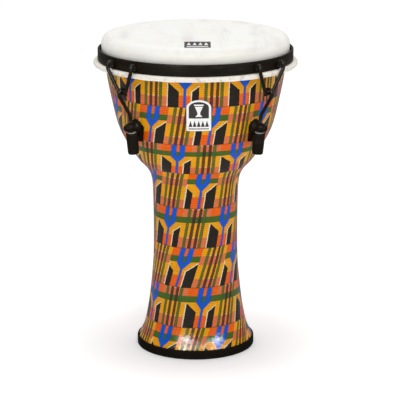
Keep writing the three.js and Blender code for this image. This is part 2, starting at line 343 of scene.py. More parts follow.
def cut(thing: bpy.types.Object, tool: Surface, crease: float = 40) -> None:
    """Cuts a closed surface out of a finished piece.

    Args:
        thing: the piece.
        tool: the surface of what is cut away.
        crease: the angle in degrees past which an edge is sharp.
    """
    mesh = bpy.data.meshes.new("cutter")
    mesh.from_pydata(tool.points.reshape(-1, 3) * MM, [], tool.quads()[0].tolist())
    weld(mesh)
    cutter = bpy.data.objects.new("cutter", mesh)
    bpy.context.scene.collection.objects.link(cutter)
    step = thing.modifiers.new("cut", "BOOLEAN")
    step.operation, step.solver, step.object, step.use_self = "DIFFERENCE", "EXACT", cutter, True
    bpy.context.view_layer.update()
    whole = thing.data
    result = bpy.data.meshes.new_from_object(thing.evaluated_get(bpy.context.evaluated_depsgraph_get()))
    thing.modifiers.remove(step)
    thing.data = result
    result.name = thing.name
    result.set_sharp_from_angle(angle=radians(crease))
    bpy.data.objects.remove(cutter)
    for spent in (mesh, whole):
        bpy.data.meshes.remove(spent)


# ---------------------------------------------------------------------------
# Finishes
# ---------------------------------------------------------------------------

def linear(red: int, green: int, blue: int) -> Colour:
    """A colour given in 0 to 255 display values, as linear light."""
    shares = (level / 255 for level in (red, green, blue))
    return tuple(((v + 0.055) / 1.055) ** 2.4 if v > 0.04 else v / 12.92 for v in shares)


@dataclass(frozen=True)
class Field:
    """A number worked out at every point of a surface by maths nodes."""

    bench: "Bench"
    socket: bpy.types.NodeSocket

    def op(self, kind: str, *others: Number) -> "Field":
        """A maths node of this field and up to two more numbers."""
        return self.bench.maths(kind, self, *others)

    def __add__(self, other: Number) -> "Field":
        """Sum."""
        return self.op("ADD", other)

    def __sub__(self, other: Number) -> "Field":
        """Difference."""
        return self.op("SUBTRACT", other)

    def __mul__(self, other: Number) -> "Field":
        """Product."""
        return self.op("MULTIPLY", other)

    def __rsub__(self, other: float) -> "Field":
        """Difference from a plain number."""
        return self.bench.maths("SUBTRACT", other, self)

    __radd__ = __add__
    __rmul__ = __mul__

    def over(self, edge: Number) -> "Field":
        """1 where the field is above the edge, otherwise 0."""
        return self.op("GREATER_THAN", edge)

    def under(self, edge: Number) -> "Field":
        """1 where the field is below the edge, otherwise 0."""
        return self.op("LESS_THAN", edge)

    def within(self, low: Number, high: Number) -> "Field":
        """1 between two edges, otherwise 0."""
        return self.over(low) * self.under(high)

    def size(self) -> "Field":
        """The field without its sign."""
        return self.op("ABSOLUTE")

    def soft(self, low: float, high: float) -> "Field":
        """A smooth rise from 0 at one value to 1 at another."""
        node = self.bench.node("ShaderNodeMapRange", interpolation_type="SMOOTHSTEP")
        self.bench.join(self, node.inputs["Value"])
        node.inputs["From Min"].default_value, node.inputs["From Max"].default_value = low, high
        return Field(self.bench, node.outputs["Result"])


def either(*masks: Field) -> Field:
    """1 where any of the masks is 1."""
    total = masks[0]
    for mask in masks[1:]:
        total = total.op("MAXIMUM", mask)
    return total


class Bench:
    """One material while its nodes are being made."""

    def __init__(self, name: str, roughness: float, metallic: float = 0, **constants: float) -> None:
        """Starts a material whose constant values are set on the shader's own sockets."""
        self.material = bpy.data.materials.new(name)
        self.material.use_nodes = True
        self.nodes, self.links = self.material.node_tree.nodes, self.material.node_tree.links
        self.shader = self.nodes["Principled BSDF"]
        self.shader.inputs["Roughness"].default_value = roughness
        self.shader.inputs["Metallic"].default_value = metallic
        for name, value in constants.items():
            self.shader.inputs[name.replace("_", " ")].default_value = value

    def node(self, kind: str, **settings: object) -> bpy.types.Node:
        """A new node with its settings."""
        made = self.nodes.new(kind)
        for name, value in settings.items():
            setattr(made, name, value)
        return made

    def join(self, source: "Field | bpy.types.NodeSocket | float | Colour",
             socket: bpy.types.NodeSocket) -> None:
        """Feeds a socket from a field, another socket or a plain value."""
        if isinstance(source, Field):
            source = source.socket
        if isinstance(source, bpy.types.NodeSocket):
            self.links.new(source, socket)
        elif isinstance(source, tuple):
            socket.default_value = (*source, 1)[: len(socket.default_value)]
        else:
            socket.default_value = source

    def maths(self, kind: str, *values: Number) -> Field:
        """A maths node of up to three values."""
        node = self.node("ShaderNodeMath", operation=kind)
        for value, socket in zip(values, node.inputs):
            self.join(value, socket)
        return Field(self, node.outputs[0])

    def place(self, stretch: tuple[float, float, float] = (1, 1, 1)) -> bpy.types.NodeSocket:
        """Object coordinates in metres, stretched along each axis."""
        where = self.node("ShaderNodeTexCoord").outputs["Object"]
        if stretch == (1, 1, 1):
            return where
        node = self.node("ShaderNodeMapping")
        self.join(where, node.inputs["Vector"])
        self.join(stretch, node.inputs["Scale"])
        return node.outputs["Vector"]

    def lay(self) -> tuple[Field, Field]:
        """The piece's own map, in millimetres across and up."""
        node = self.node("ShaderNodeSeparateXYZ")
        self.join(self.node("ShaderNodeUVMap", uv_map="lay").outputs["UV"], node.inputs[0])
        return Field(self, node.outputs["X"]) * (1 / MM), Field(self, node.outputs["Y"]) * (1 / MM)

    def xyz(self) -> tuple[Field, Field, Field]:
        """Object coordinates in millimetres."""
        node = self.node("ShaderNodeSeparateXYZ")
        self.join(self.place(), node.inputs[0])
        x, y, z = (Field(self, node.outputs[name]) * (1 / MM) for name in "XYZ")
        return x, y, z

    def noise(self, size: float, detail: float = 3, rough: float = 0.55,
              stretch: tuple[float, float, float] = (1, 1, 1)) -> Field:
        """Cloudy noise between 0 and 1.

        Args:
            size: width of a cloud in millimetres.
            detail: number of finer layers.
            rough: strength of the finer layers.
            stretch: factors on the coordinates.

        Returns:
            The noise.
        """
        node = self.node("ShaderNodeTexNoise")
        self.join(self.place(stretch), node.inputs["Vector"])
        node.inputs["Scale"].default_value = 1 / (size * MM)
        node.inputs["Detail"].default_value, node.inputs["Roughness"].default_value = detail, rough
        return Field(self, node.outputs["Fac"])

    def paint(self, under: "bpy.types.NodeSocket | Colour", mask: Number,
              over: "bpy.types.NodeSocket | Colour") -> bpy.types.NodeSocket:
        """One colour laid over another where the mask is 1."""
        node = self.node("ShaderNodeMix", data_type="RGBA")
        self.join(mask, node.inputs[0])
        self.join(under, node.inputs[6])
        self.join(over, node.inputs[7])
        return node.outputs[2]

    def shade(self, colour: "bpy.types.NodeSocket | Colour", factor: Field) -> bpy.types.NodeSocket:
        """A colour made lighter or darker by a factor."""
        node = self.node("ShaderNodeHueSaturation")
        self.join(colour, node.inputs["Color"])
        self.join(factor, node.inputs["Value"])
        return node.outputs["Color"]

    def colour(self, source: bpy.types.NodeSocket) -> "Bench":
        """Sets the base colour."""
        self.join(source, self.shader.inputs["Base Color"])
        return self

    def roughness(self, source: Field) -> "Bench":
        """Sets a roughness that varies."""
        self.join(source, self.shader.inputs["Roughness"])
        return self

    def relief(self, height: Field, depth: float, strength: float = 1) -> "Bench":
        """Sets a bump whose height of 1 is `depth` millimetres."""
        node = self.node("ShaderNodeBump")
        node.inputs["Strength"].default_value = strength
        node.inputs["Distance"].default_value = depth * MM
        self.join(height, node.inputs["Height"])
        self.join(node.outputs["Normal"], self.shader.inputs["Normal"])
        return self

    def film(self) -> "Bench":
        """Makes the clear coat follow the bump below it."""
        self.join(self.shader.inputs["Normal"].links[0].from_socket, self.shader.inputs["Coat Normal"])
        return self

    def edges(self, low: float = 0.52, high: float = 0.58) -> Field:
        """1 on outer edges, where paint and rubber wear first."""
        node = self.node("ShaderNodeNewGeometry")
        return Field(self, node.outputs["Pointiness"]).soft(low, high)


@dataclass(frozen=True)
class Print:
    """The cloth pattern printed round the shell.

    Rows of forks alternate; each row is a cell of one fork with its black side panels and one
    group of stripes, repeated round the drum. The map runs (distance round, distance up).

    Attributes:
        cell: width of one repeat round the drum.
        row: height of a row.
        first: height of the second row's upper edge.
        forks: for each row from the top, the fork's middle and how far it leans to the left going down.
        edges: sideways places of the stripes' edges within their group.
        prong: half width of the fork, and half width of its gap.
        stem: half width of the fork's stem.
        shoulder: how far down the row the fork starts to narrow.
        slope: how fast the shoulder, and the panels' tops, come in going down.
        outline: width of the dark line round the fork.
        seam: width of the dark line round the gap.
        fray: how far the pattern's edges wander.
        warp: spacing of the upright threads.
        weft: spacing of the level threads.
    """

    cell: float = 76
    row: float = 51.5
    first: float = 337.6
    forks: tuple[tuple[float, float], ...] = (
        (25.4, 2.2), (19.2, 8), (15.3, 3.2), (7.5, 8.2), (1.2, 9.4), (-17.6, 16), (-29.4, 9.6), (-45.8, 16))
    edges: tuple[float, ...] = (6.5, 10.2, 13.3, 17.5, 20.6, 24.5, 26.3, 30.1)
    prong: tuple[float, float] = (8.6, 1.9)
    stem: float = 1.4
    shoulder: float = 19
    slope: float = 0.82
    outline: float = 0.6
    seam: float = 0.5
    fray: float = 1.1
    warp: float = 1.3
    weft: float = 2.4
    yellow: Colour = linear(252, 172, 0)
    orange: Colour = linear(252, 104, 0)
    salmon: Colour = linear(236, 122, 72)
    green: Colour = linear(74, 108, 34)
    blue: Colour = linear(0, 92, 214)
    black: Colour = linear(40, 33, 26)
    cream: Colour = linear(248, 234, 200)
    brown: Colour = linear(66, 48, 34)
    pale: Colour = linear(252, 214, 130)
    shadow: Colour = linear(48, 40, 24)

    def make(self) -> bpy.types.Material:
        """The printed and lacquered outer face of the shell."""
        bench = Bench("printed_shell", 0.4, Specular_IOR_Level=0.08, Coat_Weight=0.9, Coat_Roughness=0.1,
                      Coat_IOR=1.5)
        x, y = bench.lay()
        cloud, fleck = bench.noise(16, 4), bench.noise(1.1, 3, 0.7)
        across = x + (bench.noise(2.2, 2) - 0.5) * self.fray
        up = y + (bench.noise(2.6, 2) - 0.5) * self.fray
        colour = self.pattern(bench, across, up)
        warp = (x * (TAU / self.warp)).op("SINE")
        weft = (y * (TAU / self.weft) + cloud * 9).op("SINE")
        pulled = weft.soft(0.1, 1) * (0.1 + fleck.soft(0.4, 0.62) * 0.28)
        tone = 0.94 + (cloud - 0.5) * 0.2 + (fleck - 0.5) * 0.5 + warp * 0.06 - pulled
        bench.colour(bench.shade(colour, tone))
        bench.roughness(0.3 + (cloud - 0.5) * 0.16 + warp * 0.03)
        relief = warp * weft * 0.25 + bench.noise(4.5, 2) * 4 + bench.noise(1.8, 2) * 1.4
        return bench.relief(relief, 0.16, 0.6).film().material

    def pattern(self, bench: Bench, across: Field, up: Field) -> bpy.types.NodeSocket:
        """The colour at (distance round, distance up).

        The row number is the whole part of t = 1 + (first - up) / row, and y is how far down the
        row the point lies. Every second row is moved half a cell, and a fork's centre is its row's
        middle minus lean * (y / row - 1 / 2).
        """
        t = (self.first - up) * (1 / self.row) + 1
        number = t.op("FLOOR")
        y = (t - number) * self.row
        odd = number.op("FLOORED_MODULO", 2)
        middle, lean = self.forks[0]
        for row, (here, before) in enumerate(zip(self.forks[1:], self.forks)):
            below = number.over(row + 0.5)
            middle = below * (here[0] - before[0]) + middle
            lean = below * (here[1] - before[1]) + lean
        centre = middle - lean * (y * (1 / self.row) - 0.5) - (1 - odd) * (self.cell / 2)
        left = 22.3 - odd * 2.6                    # from the fork's centre to the cell's left edge
        x = (across - centre + left).op("FLOORED_MODULO", self.cell) - left
        colour = self.ground(bench, x, y, odd)
        colour = self.panels(bench, colour, x, y, odd)
        colour = self.fork(bench, colour, x, y)
        colour = self.stripes(bench, colour, x - 17.2 - odd * 3, y, odd)    # from the group's left edge
        return bench.paint(colour, either(y.under(0.6), y.over(self.row - 0.9)) * 0.4, self.shadow)

    def ground(self, bench: Bench, x: Field, y: Field, odd: Field) -> bpy.types.NodeSocket:
        """Bands behind the fork: orange, green, then yellow with a thin seam, and orange at the bottom."""
        colour = bench.paint(self.yellow, y.under(18.5), self.green)
        colour = bench.paint(colour, y.under(10.5), self.orange)
        beside = x.size() - self.half_fork(y)
        colour = bench.paint(colour, beside.within(2.4, 3.2) * y.within(19, 36) * 0.55, self.orange)
        foot = y.over(36) * x.over(-7.2 - odd * 3) * x.under(8.8 - odd * 2)
        return bench.paint(colour, foot, self.orange)

    def panels(self, bench: Bench, colour: bpy.types.NodeSocket, x: Field, y: Field,
               odd: Field) -> bpy.types.NodeSocket:
        """Black panels left and right of the stem, cut off above by a slope, with cream edging.

        A panel reaches up to y = 31 - slope * (distance outwards from its inner edge).
        """
        left_in, left_out = 7.2 + odd * 3, 21 - odd * 2.8
        right_in, right_out = 8.8 - odd * 2, 17.2 + odd * 2.6
        from_left = 0 - x
        left_top = 31 - (from_left - left_in) * self.slope
        right_top = 31 - (x - right_in) * self.slope
        left = from_left.within(left_in, left_out) * y.over(left_top)
        right = x.within(right_in, right_out) * y.over(right_top)
        edging = either(from_left.over(left_out) * x.under(0) * y.over(20),
                        x.within(right_in - 1.4, right_out) * y.over(right_top - 1.5))
        colour = bench.paint(colour, edging, self.cream)
        return bench.paint(colour, either(left, right), self.black)

    def fork(self, bench: Bench, colour: bpy.types.NodeSocket, x: Field, y: Field) -> bpy.types.NodeSocket:
        """Blue fork with a dark outline: two prongs, a shoulder narrowing to the stem, and a round gap."""
        side = x.size()
        half, gap = self.half_fork(y), self.prong[1]
        low = (y - 16.5).op("MAXIMUM", 0)                        # the gap's round end starts here
        from_gap = (side * side + low * low).op("SQRT") + y.over(self.shoulder) * self.row
        colour = bench.paint(colour, side.under(half + self.outline) * 0.6, self.shadow)
        colour = bench.paint(colour, side.under(half), self.blue)
        colour = bench.paint(colour, from_gap.under(gap + self.seam) * 0.6, self.shadow)
        inside = bench.paint(self.green, y.under(10.5), self.orange)
        return bench.paint(colour, from_gap.under(gap), inside)

    def half_fork(self, y: Field) -> Field:
        """Half width of the fork: max(stem, prong - slope * (y - shoulder)), and the prong's above that."""
        narrowed = (y - self.shoulder).op("MAXIMUM", 0) * self.slope
        return (self.prong[0] - narrowed).op("MAXIMUM", self.stem)

    def stripes(self, bench: Bench, colour: bpy.types.NodeSocket, x: Field, y: Field,
                odd: Field) -> bpy.types.NodeSocket:
        """Upright stripes right of the panels: wide, green, thin, brown, thin, brown, thin, green, wide."""
        a, b, c, d, e, f, g, h = self.edges
        warm_a = either(y.under(10.5), y.over(37.6))
        warm_b = either(y.within(10.3, 22), y.over(39.6))
        warm = warm_a + odd * (warm_b - warm_a)
        wide = bench.paint(self.yellow, warm, self.salmon)
        wide = bench.paint(wide, y.within(10.5, 18.5) * (1 - odd), self.green)
        colour = bench.paint(colour, x.over(0), wide)
        thin = either(x.within(b, c), x.within(d, e), x.within(f, g))
        knot = either(y.under(1.3), y.within(9.6, 10.9) * odd, y.within(36.9, 38.2) * (1 - odd),
                      y.within(38.9, 40.2) * odd)
        colour = bench.paint(colour, thin * knot * 0.8, self.pale)
        cover = 0.95 - bench.noise(1.6, 3, 0.7).soft(0.5, 0.75) * 0.35
        colour = bench.paint(colour, either(x.within(a, b), x.within(g, h)) * cover, self.green)
        colour = bench.paint(colour, either(x.within(c, d), x.within(e, f)) * 0.92, self.brown)
        thread = self.outline / 2
        lines = either(*(x.within(edge - thread, edge + thread) for edge in (a, b, g, h)))
        return bench.paint(colour, lines * 0.5, self.shadow)


@dataclass(frozen=True)
class Moulding:
    """Bare moulded plastic inside the shell."""

    colour: Colour = linear(58, 54, 50)

    def make(self) -> bpy.types.Material:
        """Dull dark plastic with flow marks."""
        bench = Bench("moulded_inside", 0.55)
        flow = bench.noise(30, 4, stretch=(1, 1, 0.4))
        bench.colour(bench.shade(self.colour, 0.8 + flow * 0.4))
        return bench.roughness(0.45 + flow * 0.2).relief(bench.noise(1.4, 3), 0.12, 0.5).material


@dataclass(frozen=True)
class Rubber:
    """Black rubber of the foot and gaskets."""

    name: str
    colour: Colour = linear(24, 19, 10)
    dust: Colour = linear(66, 60, 50)

    def make(self) -> bpy.types.Material:
        """Matt rubber, greyer where it rubs on the floor."""
        bench = Bench(self.name, 0.62, Specular_IOR_Level=0.05)
        _, _, z = bench.xyz()
        scuff = bench.noise(9, 5, 0.7)
        rubbed = (1 - z.soft(0.2, 3.2)) * scuff.soft(0.38, 0.7) * 0.35
        worn = either(rubbed, bench.edges() * scuff.soft(0.45, 0.7) * 0.25)
        colour = bench.paint(self.colour, worn, self.dust)
        bench.colour(bench.shade(colour, 0.75 + bench.noise(5, 4) * 0.5))
        bench.roughness(0.5 + scuff * 0.25)
        return bench.relief(bench.noise(0.8, 4, 0.65), 0.09, 0.6).material


@dataclass(frozen=True)
class DrumSkin:
    """Synthetic drum skin: faintly streaked on the head, mottled where it is pressed round the hoop, and
    lighter on its rounded edge and skirt by painted light.
    """

    white: Colour = linear(243, 242, 238)
    cream: Colour = linear(238, 230, 212)
    grey: Colour = linear(206, 203, 200)
    painted_light_white: Colour = linear(255, 252, 245)
    stain: Colour = linear(176, 160, 142)
    ink: Colour = linear(26, 22, 18)

    def make(self) -> bpy.types.Material:
        """The skin, with a small printed mark near the front of the head."""
        bench = Bench("drum_skin", 0.5, Specular_IOR_Level=0.15, Subsurface_Weight=0.08,
                      Subsurface_Scale=0.002)
        x, y, z = bench.xyz()
        fibres = bench.noise(26, 5, 0.62, (1, 0.22, 1))
        cloud = bench.noise(45, 3)
        # Painted light: the rounded edge and skirt below the flat head get a brighter white and fewer grey
        # fibres, standing in for the light that falls on them.
        skirt_painted_lighter = 1 - z.soft(396, 405.4)
        colour = bench.paint(self.white, skirt_painted_lighter, self.painted_light_white)
        colour = bench.paint(colour, fibres.soft(0.46, 0.78) * (0.55 - skirt_painted_lighter * 0.35), self.grey)
        colour = bench.paint(colour, cloud.soft(0.45, 0.75) * 0.35, self.cream)
        band = 1 - z.soft(374, 378)
        marble = bench.noise(6.5, 5, 0.7)
        colour = bench.paint(colour, band * 0.4, self.cream)
        colour = bench.paint(colour, band * marble.soft(0.5, 0.68) * 0.5, self.stain)
        colour = bench.paint(colour, band * bench.noise(3.2, 4, 0.7).soft(0.58, 0.7) * 0.6, self.grey)
        colour = bench.paint(colour, self.mark(x, y, z) * 0.95, self.ink)
        bench.colour(colour)
        bench.roughness(0.42 + fibres * 0.16)
        return bench.relief(bench.noise(0.7, 3) * 0.3 + fibres * 0.7, 0.12, 0.55).material

    def mark(self, x: Field, y: Field, z: Field) -> Field:
        """A dark block near the front edge of the head, with light triangles over a light line.

        A triangle's side is where the distance from its middle is less than a share of its height left.
        """
        low, high, left, right, pitch = -104.0, -62.0, -13.6, 18.4, 7.0
        across = ((x - left - 2).op("FLOORED_MODULO", pitch) - pitch / 2).size()
        row = y.within(low + 19, high - 5) * x.within(left + 2, right - 2)
        triangle = row * across.under((high - 5 - y) * 0.14)
        line = y.within(low + 7, low + 12) * x.within(left + 3, right - 3)
        block = x.within(left, right) * y.within(low, high)
        return block * (1 - either(triangle, line)) * z.over(400)


@dataclass(frozen=True)
class SatinPaint:
    """Warm black paint on steel and cast parts.

    Attributes:
        name: the material's name.
        coat: weight of the clear layer.
        shine: how much the paint itself reflects.
        colour: the paint.
        worn: what shows on streaks and edges.
    """

    name: str
    coat: float
    shine: float
    colour: Colour = linear(28, 21, 11)
    worn: Colour = linear(78, 68, 54)

    def make(self) -> bpy.types.Material:
        """Paint with fine streaks, slight orange peel and worn edges."""
        bench = Bench(self.name, 0.4, Specular_IOR_Level=self.shine, Coat_Weight=self.coat,
                      Coat_Roughness=0.2)
        streak = bench.noise(9, 5, 0.65, (0.35, 0.35, 2.2))
        worn = bench.edges(0.53, 0.62) * streak.soft(0.35, 0.65)
        colour = bench.paint(self.colour, streak.soft(0.52, 0.8) * 0.35, self.worn)
        colour = bench.paint(colour, worn * 0.45, self.worn)
        bench.colour(bench.shade(colour, 0.8 + bench.noise(3, 3) * 0.4))
        bench.roughness(0.32 + streak * 0.22)
        return bench.relief(bench.noise(1.1, 3), 0.06, 0.5).material


@dataclass(frozen=True)
class Nylon:
    """White nylon washers."""

    colour: Colour = linear(176, 172, 162)
    grease: Colour = linear(176, 170, 158)

    def make(self) -> bpy.types.Material:
        """Slightly waxy plastic with faint handling marks."""
        bench = Bench("white_nylon", 0.42, Subsurface_Weight=0.1, Subsurface_Scale=0.001)
        smudge = bench.noise(2.5, 4)
        handled = bench.paint(self.colour, smudge.soft(0.55, 0.8) * 0.25, self.grease)
        bench.colour(bench.shade(handled, 0.94 + smudge * 0.1))
        return bench.roughness(0.36 + smudge * 0.16).relief(bench.noise(0.5, 2), 0.02, 0.4).material


@dataclass(frozen=True)
class ZincSteel:
    """Zinc-plated steel of screws and backing plates."""

    colour: Colour = linear(176, 178, 176)

    def make(self) -> bpy.types.Material:
        """Plating with a fine grain and dull spots."""
        bench = Bench("zinc_steel", 0.36, 1)
        grain = bench.noise(1.6, 4, 0.7, (1, 1, 4))
        dull = bench.noise(5, 4).soft(0.5, 0.75)
        colour = bench.paint(self.colour, dull * 0.5, linear(120, 122, 120))
        bench.colour(bench.shade(colour, 0.85 + grain * 0.3))
        return bench.roughness(0.26 + grain * 0.2 + dull * 0.15).relief(grain, 0.02, 0.5).material


@dataclass(frozen=True)
class BadgePrint:
    """White label: a plain goblet on a dark arched field, over a band of triangles."""

    paper: Colour = linear(253, 253, 250)
    ink: Colour = linear(28, 23, 18)

    def make(self) -> bpy.types.Material:
        """The printed label under a thin gloss film."""
        bench = Bench("badge_print", 0.4, Specular_IOR_Level=0.2, Coat_Weight=0.2, Coat_Roughness=0.12)
        x, _, z = bench.xyz()
        x, z = x - 4, z - 303                        # from the middle of the label's lower edge
        fray = (bench.noise(1, 2) - 0.5) * 0.3
        ink = either(self.arch(x + fray, z) * (1 - self.goblet(x + fray, z)), self.border(x, z + fray))
        tone = bench.noise(6, 4)
        colour = bench.paint(self.paper, tone.soft(0.45, 0.8) * 0.18, linear(206, 200, 192))
        bench.colour(bench.paint(colour, ink * 0.96, self.ink))
        bench.roughness(0.3 + tone * 0.12)
        return bench.relief(ink * 0.4 + bench.noise(0.8, 2) * 0.2, 0.05, 0.5).material

    def arch(self, x: Field, z: Field) -> Field:
        """The dark field: straight sides below z = 30 and half an oval above, 12.2 by 7.6."""
        rise = (z - 30).op("MAXIMUM", 0) * (1 / 7.6)
        side = x * (1 / 12.2)
        return (side * side + rise * rise).under(1) * z.over(16.4)

    def goblet(self, x: Field, z: Field) -> Field:
        """A goblet: a bowl narrowing to a stem that widens again at the foot, with a line across."""
        side = x.size()
        bowl = z.within(24, 34.4) * side.under((z - 24) * 0.42 + 1.8)
        stem = z.within(18.4, 24.1) * side.under(1.7 + (21.5 - z).op("MAXIMUM", 0) * 0.9)
        return either(bowl, stem) * (1 - z.within(31.6, 32.6))

    def border(self, x: Field, z: Field) -> Field:
        """A row of triangles, and a line below it, along the foot of the label."""
        across = ((x + 22.6).op("FLOORED_MODULO", 5) - 2.5).size()
        triangle = z.within(5.4, 13.4) * across.under((13.4 - z) * 0.29)
        return either(triangle * x.size().under(12.5), z.within(2.2, 3.4) * x.size().under(12.4))


@dataclass(frozen=True)
class Finishes:
    """Every material of the drum, made once."""

    outside: bpy.types.Material = field(default_factory=lambda: Print().make())
    inside: bpy.types.Material = field(default_factory=lambda: Moulding().make())
    foot: bpy.types.Material = field(default_factory=lambda: Rubber("foot_rubber").make())
    gasket: bpy.types.Material = field(
        default_factory=lambda: Rubber("gasket_rubber", linear(20, 20, 20)).make())
    skin: bpy.types.Material = field(default_factory=lambda: DrumSkin().make())
    paint: bpy.types.Material = field(
        default_factory=lambda: SatinPaint("satin_black_paint", 0.05, 0.08).make())
    wire: bpy.types.Material = field(
        default_factory=lambda: SatinPaint("glossy_black_wire", 0.25, 0.12).make())
    nylon: bpy.types.Material = field(default_factory=lambda: Nylon().make())
    steel: bpy.types.Material = field(default_factory=lambda: ZincSteel().make())
    badge: bpy.types.Material = field(default_factory=lambda: BadgePrint().make())


# ---------------------------------------------------------------------------
# The drum
# ---------------------------------------------------------------------------

@dataclass
class Shell:
    """The moulded goblet, its rubber foot and its badge.

    Attributes:
        keys: outer radius and height, from the top of the foot to the playing edge.
        wall: thickness.
        bottom: height of the lower edge, inside the foot.
    """

    finishes: Finishes
    keys: tuple[tuple[float, float], ...] = (
        (73.2, 11.5), (66.4, 26), (61.2, 50), (56.7, 85), (54, 120), (54, 190), (55.4, 218), (57.9, 228),
        (62.8, 236), (72, 246), (80.4, 258), (96.6, 288), (106, 325), (112.2, 358), (116.3, 392))
    wall: float = 5
    bottom: float = 3
    columns: int = 288
    rim_centre: tuple[float, float] = (106.6, 394.7)
    rim_r: float = 9.7
    lip: tuple[float, float] = (103.4, 399)
    foot_r: float = 75.4
    foot_h: float = 11.5

    def profile(self, offset: float = 0, steps: int = 10) -> Array:
        """The outer profile from foot to playing edge, moved outwards by `offset` along its normal."""
        points, tangent = spline(self.keys, steps)
        return points + offset * tangent[:, ::-1] * (1, -1)

    def radius(self, z: Array, offset: float) -> Array:
        """The radius at heights z of the surface `offset` outside the shell."""
        profile = self.profile(offset)
        return np.interp(z, profile[:, 1], profile[:, 0])

    def build(self) -> None:
        """Makes the shell, the foot and the badge."""
        self.body()
        self.foot()
        self.badge()

    def body(self) -> None:
        """The shell: a printed outer face and a bare inner one, joined at the lip and the lower edge."""
        foot_r = self.keys[0][0]
        edge = arc(*self.rim_centre, self.rim_r, 0, 90, 10)
        lip_top = [(self.lip[0] + 0.6, edge[-1][1]), (self.lip[0], edge[-1][1] - 0.6)]
        outer = np.concatenate([[(foot_r, self.bottom)], self.profile(), edge, lip_top])
        inner = np.concatenate([lip_top[-1:], [self.lip], self.profile(-self.wall, 4)[::-1],
                                [(foot_r - self.wall, self.bottom), (foot_r, self.bottom)]])
        front = turn(outer, self.columns)
        front.uv[..., 1] -= self.keys[0][1] - self.bottom
        back = turn(inner, self.columns, finish=1)
        make_piece(Label("printed_goblet", Slot.PRINT, Body.SHELL, ("shell",)), [front, back],
                   [self.finishes.outside, self.finishes.inside])

    def foot(self) -> None:
        """The rubber channel round the foot: a closed profile with rounded outer edges."""
        edge, gap = self.keys[0][0], 0.3
        outer, inner = edge + gap, edge - self.wall - gap
        low, top, inner_top = self.bottom - gap, self.foot_h, self.foot_h - 3.7
        profile = rounded(
            [(inner - 2, 0), (self.foot_r, 0), (self.foot_r, top), (outer, top), (outer, low), (inner, low),
             (inner, inner_top), (inner - 2, inner_top)], [0.8, 1.6, 1.5, 0.3, 0.3, 0.3, 0.5, 0.5], 5, True)
        make_piece(Label("rubber_foot", Slot.FOOT, Body.SHELL, ("foot_ring",)),
                   [turn(profile, 192, ring=True)], [self.finishes.foot])

    def badge(self) -> None:
        """The arch-topped label on the front of the bowl."""
        half, low, shoulder, arch, corner = 15.0, 303.0, 333.0, 10.0, 1.5

        def width(z: Array) -> Array:
            """Half width at height z: an ellipse above the shoulder, rounded corners at the foot."""
            above = half * np.sqrt(np.clip(1 - ((z - shoulder) / arch).clip(0) ** 2, 0, 1))
            below = corner - np.sqrt(np.clip(corner ** 2 - (low + corner - z).clip(0) ** 2, 0, None))
            return above - below

        rows = np.concatenate([low + corner * np.linspace(0, 1, 5) ** 2,
                               np.linspace(low + 3, shoulder - 1, 14),
                               shoulder + arch * np.sin(np.linspace(0, pi / 2, 14))])
        front = self.pad(rows, width, 0.3, 0.5, (np.array([0, -1, 0]), np.array([1, 0, 0])),
                         centre=4, power=10)
        make_piece(Label("front_badge", Slot.BADGE, Body.SHELL, ("shell_badge",)),
                   [front], [self.finishes.badge])

    def pad(self, z: Array, width: Callable[[Array], Array], inner: float, thick: float,
            facing: tuple[Array, Array], centre: float = 0, power: float = 8, columns: int = 48) -> Surface:
        """A layer lying on the shell, seen along the radius.

        At each height its section is a squared oval, |across / width|^n + |out / half thickness|^n = 1;
        each point is then put at its distance from the shell: the square root of radius^2 - across^2.

        Args:
            z: heights of its rows.
            width: half width as a function of height.
            inner: distance from the shell to its inner face.
            thick: thickness.
            facing: the outward and the sideways direction.
            centre: sideways place of its middle.
            power: n; higher is squarer.
            columns: points round each section.

        Returns:
            The surface.
        """
        angle = np.linspace(0, TAU, columns, endpoint=False)
        oval = [np.sign(f) * np.abs(f) ** (2 / power) for f in (np.cos(angle), np.sin(angle))]
        across = centre + width(z)[:, None] * oval[0]
        share = (oval[1] + 1) / 2
        low, high = (self.radius(z, inner + out)[:, None] for out in (0, thick))
        reach = low + (high - low) * share
        out = np.sqrt(reach ** 2 - across ** 2)
        points = (out[..., None] * facing[0] + across[..., None] * facing[1]
                  + z[:, None, None] * np.array([0, 0, 1]))
        ends = [points[i].mean(0, keepdims=True).repeat(columns, 0)[None] for i in (0, -1)]
        return Surface(np.concatenate([ends[0], points, ends[1]]))


